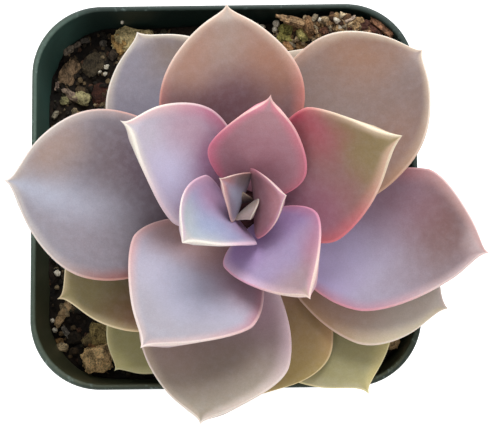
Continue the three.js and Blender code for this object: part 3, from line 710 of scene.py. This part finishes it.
def lump(bm, tints, at, size, turn, tint, seed, detail, lift=0.3, pitch=0, tip=0, blocky=0.75):
    """Adds one irregular lump, in millimetres, whose foot lies in the mix."""
    made = bmesh.ops.create_icosphere(bm, subdivisions=detail, radius=1)
    turning = Matrix.Rotation(turn, 3, "Z") @ Matrix.Rotation(pitch, 3, "Y")
    turning = turning @ Matrix.Rotation(tip, 3, "X")
    base = Vector((at[0], at[1], mix_height(*at) + lift))
    shift = Vector((seed * 1.7, seed * 0.9, seed * 2.3))
    for vert in made["verts"]:
        way = vert.co.normalized()
        swell = 1 + sum(strength * noise.noise(way * waves + shift) for strength, waves in SWELLS)
        blunt = Vector(math.copysign(abs(c) ** blocky, c) for c in way)
        vert[tints] = tint
        vert.co = base + turning @ Vector(s * c * swell for s, c in zip(size, blunt))


def inside_pot(x, y, margin):
    limit = inside_half(MIX_TOP) - MIX_CLEARANCE - margin
    return math.hypot(x, y) < limit * square_reach(math.atan2(y, x))


def scattered(draw, count, margin):
    """Places in the pot, clear of the stem."""
    half = inside_half(MIX_TOP)
    found = []
    while len(found) < count:
        x, y = draw.uniform(-half, half), draw.uniform(-half, half)
        if inside_pot(x, y, margin) and math.hypot(x - AXIS.x, y - AXIS.y) > STEM_CLEAR:
            found.append((x, y))
    return found


def dull_tint(draw):
    return to_linear(DULL[int(len(DULL) * draw.random() ** 1.5)])


def bark_mesh():
    bm, tints = tinted_mesh()
    for number, piece in enumerate(CHUNKS, 1):
        lump(bm, tints, piece["at"], piece["size"], math.radians(piece["turn"]),
             to_linear(piece["tint"]), number, 4, piece["lift"], math.radians(piece["pitch"]),
             0.12, 0.62)
    return in_metres(bm)


def chip_mesh(settings):
    draw = random.Random(settings.seed)
    bm, tints = tinted_mesh()
    for at in scattered(draw, settings.chips, 1.6):
        length = draw.uniform(*CHIP_HALF)
        size = (length, length * draw.uniform(0.35, 0.8), draw.uniform(0.5, 1))
        lump(bm, tints, at, size, draw.uniform(0, math.pi), dull_tint(draw), draw.uniform(0, 90), 2,
             tip=draw.uniform(-0.5, 0.5), blocky=0.65)
    for _ in range(settings.fragments):
        at = [draw.uniform(low, high) for low, high in zip(HEAP_FROM, HEAP_TO)]
        length = draw.uniform(*FRAGMENT_HALF)
        size = (length, length * draw.uniform(0.3, 0.8), length * draw.uniform(0.4, 0.8))
        if inside_pot(*at, 0.3):
            lump(bm, tints, at, size, draw.uniform(0, math.pi), to_linear(draw.choice(HEAP)),
                 draw.uniform(0, 90), 2, 0.8, tip=draw.uniform(-0.8, 0.8), blocky=0.6)
    return in_metres(bm)


def crumb_mesh(settings):
    draw = random.Random(settings.seed + 1)
    bm, tints = tinted_mesh()
    for at in scattered(draw, settings.crumbs, 0.7):
        length = draw.uniform(*CRUMB_HALF)
        size = (length, length * draw.uniform(0.5, 1), length * draw.uniform(0.5, 0.9))
        lump(bm, tints, at, size, draw.uniform(0, math.pi), dull_tint(draw), draw.uniform(0, 90), 1,
             tip=draw.uniform(-1, 1))
    return in_metres(bm)


def bark_material(name):
    """Bark and wood in each piece's own colour, with grain, pores and dark cracks."""
    sheet = Sheet(name)
    place = sheet.place()
    tint = sheet.attribute("tint").outputs["Color"]
    grain = sheet.noise(place, 1, 5, 0.7, (1, 0.4, 1))
    fine = sheet.noise(place, 0.35, 4, 0.7)
    patch = sheet.noise(place, 1.9, 4, 0.65)
    colour = sheet.blend(grain.rising(0.5, 0.6) * 0.8, tint, sheet.shade(tint, 0.28))
    light = 0.35 + fine.rising(0.35, 0.65) * 0.75 + patch.rising(0.38, 0.62) * 0.6
    colour = sheet.shade(colour, light)
    return sheet.finish(
        Base_Color=colour,
        Roughness=0.85,
        Specular_IOR_Level=0.3,
        Normal=sheet.bump(grain + fine * 0.6 + patch, 0.5, 0.9),
    )


def grain_mesh(settings):
    draw = random.Random(settings.seed + 2)
    bm, tints = tinted_mesh()
    places = list(GRAINS)
    for x, y in scattered(draw, settings.grains, 1.5):
        half = draw.uniform(*GRAIN_HALF)
        places.append((x, y, half, half * 0.8, 0.3))
    for x, y, half, tall, lift in places:
        size = (half, half * draw.uniform(0.8, 1), tall)
        lump(bm, tints, (x, y), size, draw.uniform(0, math.pi), to_linear("#e6e0d0"),
             draw.uniform(0, 90), 3, lift, blocky=0.85)
    return in_metres(bm)


def grain_material(settings):
    sheet = Sheet("white_grains")
    place = sheet.place()
    fine = sheet.noise(place, 0.35, 4, 0.6)
    stain = sheet.noise(place, 1.6, 2)
    colour = sheet.blend(fine.rising(0.3, 0.7), to_linear("#a89c84"), (*settings.grain, 1))
    colour = sheet.shade(colour, 0.75 + stain * 0.7)
    return sheet.finish(
        Base_Color=colour,
        Roughness=0.8,
        Specular_IOR_Level=0.3,
        Normal=sheet.bump(fine, 0.15, 0.7),
    )


def stem_mesh():
    profile = [(0, STEM_BOTTOM)]
    for (radius, low), (_, high) in zip(STEM, STEM[1:]):
        for step in range(4):
            height = low + (high - low) * step / 4
            ridge = STEM_RIDGE * math.sin(height * 4.2)
            profile.append((radius + ridge, height))
    profile.append((0, STEM[-1][1]))
    bm = turned(profile, STEM_SIDES)
    for vert in bm.verts:
        if vert.co.xy.length > 0.1:
            scar = noise.noise(Vector((vert.co.x * 0.35, vert.co.y * 0.35, vert.co.z * 0.8)))
            vert.co.xy *= 1 + 0.03 * scar
    bmesh.ops.translate(bm, vec=AXIS, verts=bm.verts)
    return in_metres(bm)


def stem_material(settings):
    sheet = Sheet("stem_skin")
    place = sheet.place()
    rings = sheet.noise(place, 1.6, 4, 0.6, (0.3, 0.3, 1.4))
    fine = sheet.noise(place, 0.5, 4)
    axes = sheet.node("ShaderNodeSeparateXYZ", None, {0: place})
    height = Number(sheet, axes.outputs["Z"])
    colour = sheet.blend(rings.rising(0.35, 0.65), (*settings.stem, 1), to_linear("#8a7a5c"))
    # Painted shade: dark red where the stem lies between the leaves
    crevice_shade = height.rising((STEM_SHADE_FROM - 6) * MM, (STEM_SHADE_FROM + 6) * MM)
    colour = sheet.blend(crevice_shade, colour, to_linear("#3a181c"))
    colour = sheet.shade(colour, 0.7 + fine * 0.6)
    return sheet.finish(
        Base_Color=colour,
        Roughness=0.8,
        Specular_IOR_Level=0.3,
        Normal=sheet.bump(rings + fine * 0.4, 0.3, 0.8),
    )


def lerp(start, end, share):
    return start + (end - start) * share


def half_width(shape, distance, widest):
    """Half the width of a leaf at a distance from its base, before its base is rounded."""
    full = widest * shape["width"]
    shoulder = shape["length"] - full
    if distance > shoulder:
        back = max(0, shape["length"] - distance) / full
        flank = 1 - (1 - back) ** shape["point"]
        hollow = math.exp(-((back / shape["hollow"]) ** 2))
        return shape["width"] / 2 * flank * (1 - POINT_DEPTH * shape["mucro"] * hollow)
    on = distance / shoulder
    return shape["width"] / 2 * lerp(shape["base"], 1, (1 - (1 - on) ** 2) ** WIDEN_LATE)


def leaf_frame(shape, share):
    """Directions at a share of the way along the midrib: along it, across it and up from it."""
    rise = math.radians(lerp(shape["rise"][0], shape["rise"][1], share ** CURVE_LATE))
    turn = math.radians(shape["turn"] + shape["sway"] * share)
    roll = math.radians(shape["roll"] + shape["twist"] * share)
    along = Vector((math.cos(rise) * math.cos(turn), math.cos(rise) * math.sin(turn), math.sin(rise)))
    across = Matrix.Rotation(roll, 3, along) @ Vector((-math.sin(turn), math.cos(turn), 0))
    return along, across, along.cross(across)


def midrib_point(shape, share):
    """The point at a share of the way along the midrib, by short steps."""
    turn = math.radians(shape["turn"])
    point = AXIS + Vector((shape["out"] * math.cos(turn), shape["out"] * math.sin(turn), shape["up"]))
    step = share / MIDRIB_STEPS
    for i in range(MIDRIB_STEPS):
        point += leaf_frame(shape, (i + 0.5) * step)[0] * (step * shape["length"])
    return point


def leaf_mesh(shape, number, sides, rings, ripple):
    """A sphere drawn out along a midrib: its poles are the base and the tip, its equator the margin."""
    bm = bmesh.new()
    bmesh.ops.create_uvsphere(bm, u_segments=sides, v_segments=rings, radius=1)
    blade = bm.verts.layers.float_vector.new("blade")
    edge = bm.verts.layers.float.new("edge")
    spine = {}
    for vert in bm.verts:
        share = min(1, max(0, (1 + vert.co.z) / 2))
        key = round(share, 6)
        if key not in spine:
            spine[key] = (midrib_point(shape, share), leaf_frame(shape, share))
        middle, (_, across, up) = spine[key]
        ring = math.hypot(vert.co.x, vert.co.y)
        if ring < 1e-4:
            vert[blade] = (0, share, 0)
            vert.co = middle
            continue
        distance = share * shape["length"]
        sideways, upwards = vert.co.x / ring, vert.co.y / ring
        closing = math.sqrt(1 - (1 - min(1, distance / BASE_ROUND)) ** 2)
        left = half_width(shape, distance, shape["widest"] * (1 - shape["skew"])) * closing
        right = half_width(shape, distance, shape["widest"] * (1 + shape["skew"])) * closing
        half = (left + right) / 2
        full = shape["thick"] * lerp(THICK_ENDS, 1, math.sin(math.pi * share))
        thickness = full * min(1, half / (THIN_FROM * shape["width"])) ** 0.8 * closing
        bend = math.radians(shape["cup"] * lerp(CUP_BASE, CUP_TIP, share))
        over = math.copysign(abs(sideways) ** 0.9, sideways)
        off = thickness * (
            TOP_SHARE * max(upwards, 0) ** CROWN_TOP - (1 - TOP_SHARE) * max(-upwards, 0) ** CROWN_UNDER
        )
        width = left if over > 0 else right
        wave = noise.noise(Vector((over * 1.1 + number * 3.1, share * 2.6, number)))
        lift = ripple * wave * over ** 2 * min(1, 3 * share) * half / (shape["width"] / 2)
        vert[blade] = (over, share, upwards)
        vert[edge] = (1 - abs(over)) * width
        vert.co = (
            middle
            + across * (width * math.sin(bend * over) / bend - math.sin(bend * over) * off)
            + up * (width * (1 - math.cos(bend * over)) / bend + math.cos(bend * over) * off + lift)
        )
    return in_metres(bm)


# Where each colour of a leaf takes over from the one before, as shares of its length
ZONES = {"face": (0.15, 0.5), "tip": (0.5, 0.82), "point": (0.86, 0.99)}
# Where the margins change from their colours near the stem to those near the tip
TIPWARD = (0.45, 0.85)
# Sizes of the soft clouds, the mottling and the powder on a leaf, in millimetres
LEAF_CLOUD = 9
LEAF_MOTTLE = 1.8
LEAF_POWDER = 0.3


def leaf_material(number, colours, settings):
    sheet = Sheet(f"leaf_skin_{number:02d}")
    place = sheet.place()
    axes = sheet.node("ShaderNodeSeparateXYZ", None, {0: sheet.attribute("blade").outputs["Vector"]})
    side, along, top = (Number(sheet, socket) for socket in axes.outputs)
    edge = Number(sheet, sheet.attribute("edge").outputs["Fac"])
    cloud = sheet.noise(place, LEAF_CLOUD, 2)
    mottle = sheet.noise(place, LEAF_MOTTLE, 4, 0.65)
    powder = sheet.noise(place, LEAF_POWDER, 3, 0.75)
    drift = cloud - 0.5
    further = along + drift * 0.12
    outer = further.rising(*TIPWARD)
    colour = to_linear(colours["heart"])
    for zone, (start, end) in ZONES.items():
        colour = sheet.blend(further.rising(start, end), colour, to_linear(colours[zone]))
    # Soft patches of tint, on some leaves painted light and shade
    for patch in colours["washes"]:
        off_side = (side - patch["side"]) / patch["wide"]
        off_along = (further - patch["along"]) / patch["deep"]
        apart = (off_side * off_side + off_along * off_along) ** 0.5
        colour = sheet.blend(apart.falling(0, 2) * patch["much"], colour, to_linear(patch["colour"]))
    drawn = edge + drift * 1.5
    on_left = side.rising(0, 0.5)
    on_right = side.falling(-0.5, 0)
    for (inner, tipward, width), half in ((colours["left"], on_left), (colours["right"], on_right)):
        margin = sheet.blend(outer, to_linear(inner), to_linear(tipward))
        colour = sheet.blend(drawn.falling(-0.3, width) * half * 0.95, colour, margin)
    under = top.falling(-0.6, -0.15)
    colour = sheet.blend(under * edge.rising(1, 4) * 0.7, colour, (*settings.underside, 1))
    # Pale line along the margins: partly the leaf's own pale edge, partly a painted highlight of light
    # through the thin edge
    line_inner, line_tipward, left_line, right_line = colours["rim"]
    broad = left_line * on_left + right_line * (1 - on_left)
    line = ((edge + (mottle - 0.5) * 0.2) / broad).falling(0.4, 1.3) * top.rising(-0.8, -0.4)
    pale = sheet.blend(outer, to_linear(line_inner), to_linear(line_tipward))
    colour = sheet.blend(line * (0.6 + outer * 0.15), colour, pale)
    veil = mottle.rising(0.35, 0.75) * settings.bloom
    colour = sheet.blend(veil, colour, (*settings.powder, 1))
    colour = sheet.shade(colour, 0.74 + powder * 0.4 + mottle * 0.12)
    return sheet.finish(
        Base_Color=colour,
        Roughness=0.56 + (powder - 0.5) * 0.12,
        Specular_IOR_Level=0.3,
        Subsurface_Weight=0.1,
        Subsurface_Radius=(1, 0.45, 0.35),
        Subsurface_Scale=1 * MM,
        Sheen_Weight=0.08,
        Sheen_Roughness=0.5,
        Sheen_Tint=(0.9, 0.92, 1, 1),
        Normal=sheet.bump(powder * 0.5 + mottle, 0.06, 0.5),
    )


def paint(name, description, code):
    """A colour that the user can change, with its default written as #rrggbb."""
    return bpy.props.FloatVectorProperty(
        name=name, description=description, subtype="COLOR", default=to_linear(code)[:3], min=0, max=1,
    )


def count(name, description, default, most, least=0):
    return bpy.props.IntProperty(
        name=name, description=description, default=default, min=least, max=most,
    )


class PotSettings(bpy.types.PropertyGroup):
    colour: paint("Colour", "Colour of the pot's plastic", "#1e2a20")
    light: paint("Back colour", "Colour of the plastic at the back", "#182a25")
    scuff: paint("Scuffs", "Colour of the scuffed rim", "#7d8f8a")


class MixSettings(bpy.types.PropertyGroup):
    seed: bpy.props.IntProperty(name="Seed", description="Arrangement of the pieces", default=11)
    chips: count("Bark chips", "Number of small pieces of bark", 400, 900)
    fragments: count("Fragments", "Number of fragments banked up at the wall", 340, 400)
    crumbs: count("Crumbs", "Number of crumbs of peat", 2600, 5000)
    grains: count("White grains", "Number of white grains", 9, 100)
    peat: paint("Peat", "Darkest colour of the mix", "#120e0b")
    peat_light: paint("Light peat", "Lighter colour of the mix", "#281f17")
    grain: paint("White grains", "Colour of the white grains", "#e6e0d0")


class LeafSettings(bpy.types.PropertyGroup):
    sides: count("Sides", "Faces around each leaf", 88, 128, 12)
    rings: count("Rings", "Faces along each leaf", 60, 96, 12)
    ripple: bpy.props.FloatProperty(
        name="Ripple", description="How far the margins wave up and down", default=0.5 * MM,
        min=0, max=2 * MM, unit="LENGTH",
    )
    bloom: bpy.props.FloatProperty(
        name="Bloom", description="How much pale powder lies on the leaves", default=0.06,
        min=0, max=1, subtype="FACTOR",
    )
    powder: paint("Powder", "Colour of the powdery bloom", "#c8c8da")
    underside: paint("Underside", "Colour under the leaves", "#8d7c80")
    stem: paint("Stem", "Darker colour of the stem", "#5f5540")


class StageSettings(bpy.types.PropertyGroup):
    distance: bpy.props.FloatProperty(
        name="Distance", description="From the camera to what it looks at", default=0.33,
        min=0.1, max=3, unit="LENGTH",
    )
    tilt: bpy.props.FloatProperty(
        name="Tilt", description="Camera's angle from straight above", default=math.radians(7.5),
        unit="ROTATION",
    )
    roll: bpy.props.FloatProperty(
        name="Roll", description="Camera's turn about its own line of sight",
        default=math.radians(-0.7), unit="ROTATION",
    )
    lens: bpy.props.FloatProperty(
        name="Lens", description="Focal length in millimetres", default=104.5, min=20, max=300,
    )
    floor: bpy.props.FloatVectorProperty(
        name="Floor", description="Colour of the floor", subtype="COLOR",
        default=(0.9, 0.9, 0.9), min=0, max=1,
    )
    glow: bpy.props.FloatProperty(
        name="Floor glow", description="Light that the floor gives back", default=0.75, min=0, max=2,
    )
    room: bpy.props.FloatProperty(
        name="Room light", description="Strength of the light from all round", default=0.62,
        min=0, max=5,
    )


class ECHEVERIA_OT_pot(bpy.types.Operator):
    """Makes the square nursery pot, with its rim band, foot ring and drain holes"""

    bl_idname = "echeveria.make_pot"
    bl_label = "Make pot"

    def execute(self, context):
        piece = new_piece("pot_shell", pot_mesh(), pot_material(context.scene.echeveria_pot),
                          ("pot",))
        cutters = bmesh.new()
        for step in range(DRAIN_HOLES):
            angle = step * 2 * math.pi / DRAIN_HOLES
            x, y = DRAIN_OUT * math.cos(angle), DRAIN_OUT * math.sin(angle)
            bmesh.ops.create_cone(
                cutters, cap_ends=True, segments=32, radius1=DRAIN_HOLE / 2, radius2=DRAIN_HOLE / 2,
                depth=DRILL_LENGTH, matrix=Matrix.Translation((x, y, 0)),
            )
        drill_mesh = bpy.data.meshes.new("drills")
        cutters.to_mesh(drill_mesh)
        cutters.free()
        drill = bpy.data.objects.new("drills", drill_mesh)
        context.scene.collection.objects.link(drill)
        cut = piece.modifiers.new("drain holes", "BOOLEAN")
        cut.operation = "DIFFERENCE"
        cut.solver = "EXACT"
        cut.object = drill
        context.view_layer.update()
        drilled = bpy.data.meshes.new_from_object(piece.evaluated_get(context.evaluated_depsgraph_get()))
        piece.modifiers.clear()
        piece.data = drilled
        drilled.transform(Matrix.Scale(MM, 4))
        drilled.set_sharp_from_angle(angle=math.radians(POT_SHARP))
        bpy.data.objects.remove(drill)
        return {"FINISHED"}


class ECHEVERIA_OT_mix(bpy.types.Operator):
    """Makes the potting mix, with its bark, crumbs and white grains"""

    bl_idname = "echeveria.make_mix"
    bl_label = "Make potting mix"

    def execute(self, context):
        settings = context.scene.echeveria_mix
        new_piece("potting_mix", mix_mesh(), mix_material(settings), ("soil",))
        bark = bark_material("bark")
        new_piece("bark_pieces", bark_mesh(), bark, (), 50)
        new_piece("bark_chips", chip_mesh(settings), bark, (), 30)
        new_piece("peat_crumbs", crumb_mesh(settings), bark, (), 30)
        new_piece("white_grains", grain_mesh(settings), grain_material(settings), ())
        return {"FINISHED"}


class ECHEVERIA_OT_stem(bpy.types.Operator):
    """Makes the short stem that the leaves grow from"""

    bl_idname = "echeveria.make_stem"
    bl_label = "Make stem"

    def execute(self, context):
        settings = context.scene.echeveria_leaves
        new_piece("stem_core", stem_mesh(), stem_material(settings), ("stem",))
        return {"FINISHED"}


class ECHEVERIA_OT_leaves(bpy.types.Operator):
    """Makes the rosette's leaves, from the oldest to the youngest"""

    bl_idname = "echeveria.make_leaves"
    bl_label = "Make leaves"

    def execute(self, context):
        settings = context.scene.echeveria_leaves
        for number, (shape, colours) in enumerate(zip(LEAVES, SKINS), 1):
            node = f"leaf_{number:02d}"
            mesh = leaf_mesh(shape, number, settings.sides, settings.rings, settings.ripple / MM)
            new_piece(f"blade_{number:02d}", mesh, leaf_material(number, colours, settings), (node,))
        return {"FINISHED"}


FLOOR_HALF = 3
LIT_HEIGHT = 0.095
# Soft square lights, in metres and watts
LIGHTS = (
    dict(name="window", place=(0.1, 0.75, 0.75), size=0.6, power=9, colour=(0.96, 0.98, 1)),
    dict(name="bounce", place=(-0.2, -0.8, 0.6), size=0.7, power=2, colour=(1, 0.96, 0.92)),
)


def add_area(aim, name, place, size, power, colour):
    """A light at a place, turned to what it lights."""
    light = bpy.data.lights.new(name, "AREA")
    light.size = size
    light.energy = power
    light.color = colour
    lamp = bpy.data.objects.new(name, light)
    lamp.location = place
    lamp.rotation_euler = (Vector(aim) - Vector(place)).to_track_quat("-Z", "Y").to_euler()
    bpy.context.scene.collection.objects.link(lamp)


class ECHEVERIA_OT_stage(bpy.types.Operator):
    """Makes the floor, the lights and the camera"""

    bl_idname = "echeveria.make_stage"
    bl_label = "Make stage"

    def execute(self, context):
        scene = context.scene
        settings = scene.echeveria_stage
        sheet = Sheet("floor")
        floor_noise = sheet.noise(sheet.place(), 40, 2)
        white = (*settings.floor, 1)
        floor_skin = sheet.finish(
            Base_Color=sheet.blend(floor_noise * 0.03, white, to_linear("#e6e6e6")),
            Roughness=0.9,
            Emission_Color=white,
            Emission_Strength=settings.glow,
        )
        bm = bmesh.new()
        bmesh.ops.create_grid(bm, x_segments=1, y_segments=1, size=FLOOR_HALF)
        mesh = bpy.data.meshes.new("floor")
        bm.to_mesh(mesh)
        bm.free()
        mesh.materials.append(floor_skin)
        floor = bpy.data.objects.new("floor", mesh)
        scene.collection.objects.link(floor)

        world = bpy.data.worlds.new("soft room")
        scene.world = world
        world.use_nodes = True
        sky = world.node_tree.nodes["Background"]
        sky.inputs["Color"].default_value = (1, 1, 1, 1)
        sky.inputs["Strength"].default_value = settings.room

        aim = AXIS * MM + Vector((0, 0, LIT_HEIGHT))
        for light in LIGHTS:
            add_area(aim, **light)

        tilt, roll = settings.tilt, settings.roll
        back = Vector((0, -math.sin(tilt), math.cos(tilt)))
        flat_up = Vector((0, math.cos(tilt), math.sin(tilt)))
        flat_right = Vector((1, 0, 0))
        right = flat_right * math.cos(roll) + flat_up * math.sin(roll)
        up = flat_up * math.cos(roll) - flat_right * math.sin(roll)
        data = bpy.data.cameras.new("camera")
        data.lens = settings.lens
        data.clip_start = 0.01
        camera = bpy.data.objects.new("camera", data)
        turn = Matrix((right, up, back)).transposed().to_4x4()
        camera.matrix_world = Matrix.Translation(LOOK_AT * MM + back * settings.distance) @ turn
        scene.collection.objects.link(camera)
        scene.camera = camera
        scene.view_settings.view_transform = "Standard"
        return {"FINISHED"}


class ECHEVERIA_PT_panel(bpy.types.Panel):
    """Sizes, colours and the buttons that make each piece"""

    bl_idname = "ECHEVERIA_PT_panel"
    bl_label = "Echeveria"
    bl_space_type = "VIEW_3D"
    bl_region_type = "UI"
    bl_category = "Echeveria"

    def draw(self, context):
        for title, holder, operators in PANEL_ROWS:
            box = self.layout.box()
            box.label(text=title)
            settings = getattr(context.scene, holder)
            for name in settings.__annotations__:
                box.prop(settings, name)
            for operator in operators:
                box.operator(operator)


PANEL_ROWS = (
    ("Pot", "echeveria_pot", ("echeveria.make_pot",)),
    ("Potting mix", "echeveria_mix", ("echeveria.make_mix",)),
    ("Leaves", "echeveria_leaves", ("echeveria.make_stem", "echeveria.make_leaves")),
    ("Stage", "echeveria_stage", ("echeveria.make_stage",)),
)
SETTINGS = {
    "echeveria_pot": PotSettings,
    "echeveria_mix": MixSettings,
    "echeveria_leaves": LeafSettings,
    "echeveria_stage": StageSettings,
}
CLASSES = (
    *SETTINGS.values(),
    ECHEVERIA_OT_pot,
    ECHEVERIA_OT_mix,
    ECHEVERIA_OT_stem,
    ECHEVERIA_OT_leaves,
    ECHEVERIA_OT_stage,
    ECHEVERIA_PT_panel,
)


def register():
    for cls in CLASSES:
        bpy.utils.register_class(cls)
    for name, cls in SETTINGS.items():
        setattr(bpy.types.Scene, name, bpy.props.PointerProperty(type=cls))


def unregister():
    for name in SETTINGS:
        delattr(bpy.types.Scene, name)
    for cls in reversed(CLASSES):
        bpy.utils.unregister_class(cls)


def main():
    register()
    bpy.ops.echeveria.make_stage()
    bpy.ops.echeveria.make_pot()
    bpy.ops.echeveria.make_mix()
    bpy.ops.echeveria.make_stem()
    bpy.ops.echeveria.make_leaves()


if __name__ == "__main__":
    main()
